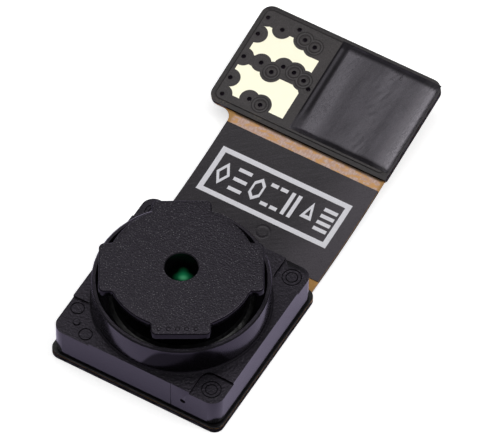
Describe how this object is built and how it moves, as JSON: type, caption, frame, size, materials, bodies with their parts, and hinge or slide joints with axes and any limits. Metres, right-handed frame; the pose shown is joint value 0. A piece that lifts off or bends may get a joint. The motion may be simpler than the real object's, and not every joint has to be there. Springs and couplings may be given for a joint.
{
  "type": "camera module",
  "caption": "Small fixed-focus camera module: square holder, round collar, tabbed lens barrel, and a flex tail to a board with a hidden board-to-board plug.",
  "frame": {"origin": "on the optical axis, at the underside of the sensor board", "axes": "+Z along the optical axis, out of the lens; +Y along the tail, from the camera towards the end board; +X to the right seen from above with the tail pointing away"},
  "size_m": [0.0074, 0.0159, 0.0035],
  "materials": {
    "holder_plastic": "satin",
    "barrel_plastic": "spark-eroded matte",
    "lens": "coated",
    "stop_film": "matte",
    "retainer_plastic": "matte",
    "adhesive": "cured",
    "filter_glass": "coated",
    "silicon": "polished",
    "die_film": "matte",
    "gold": "plated",
    "capacitor": "fired",
    "laminate": "satin",
    "polyimide": "amber film",
    "coverlay": "matte film",
    "print": "printed",
    "solder_mask": "semi-matte",
    "copper": "plated copper",
    "steel": "rolled",
    "foil": "wrinkled film",
    "plug_plastic": "moulded",
    "tin": "tinned"
  },
  "bodies": {
    "root": {"lens_holder": "holder_plastic", "lens_barrel": "barrel_plastic", "front_lens": "lens", "front_stop": "stop_film", "middle_lens": "lens", "middle_stop": "stop_film", "rear_lens": "lens", "lens_retainer": "retainer_plastic", "focus_glue": "adhesive", "ir_filter": "filter_glass", "filter_glue": "adhesive", "image_sensor": "silicon", "die_attach": "die_film", "bond_wires": "gold", "chip_capacitors": "capacitor", "holder_glue": "adhesive", "sensor_board_upper": "laminate", "sensor_board_lower": "laminate", "flex_core": "polyimide", "film_upper": "coverlay", "film_lower": "coverlay", "label_print": "print", "end_board_upper": "laminate", "end_board_lower": "laminate", "solder_mask": "solder_mask", "ground_pads": "gold", "via_barrels": "copper", "stiffener_plate": "steel", "stiffener_foil": "foil", "plug_housing": "plug_plastic", "plug_contacts": "gold", "plug_hold_downs": "tin"}
  },
  "joints": []
}
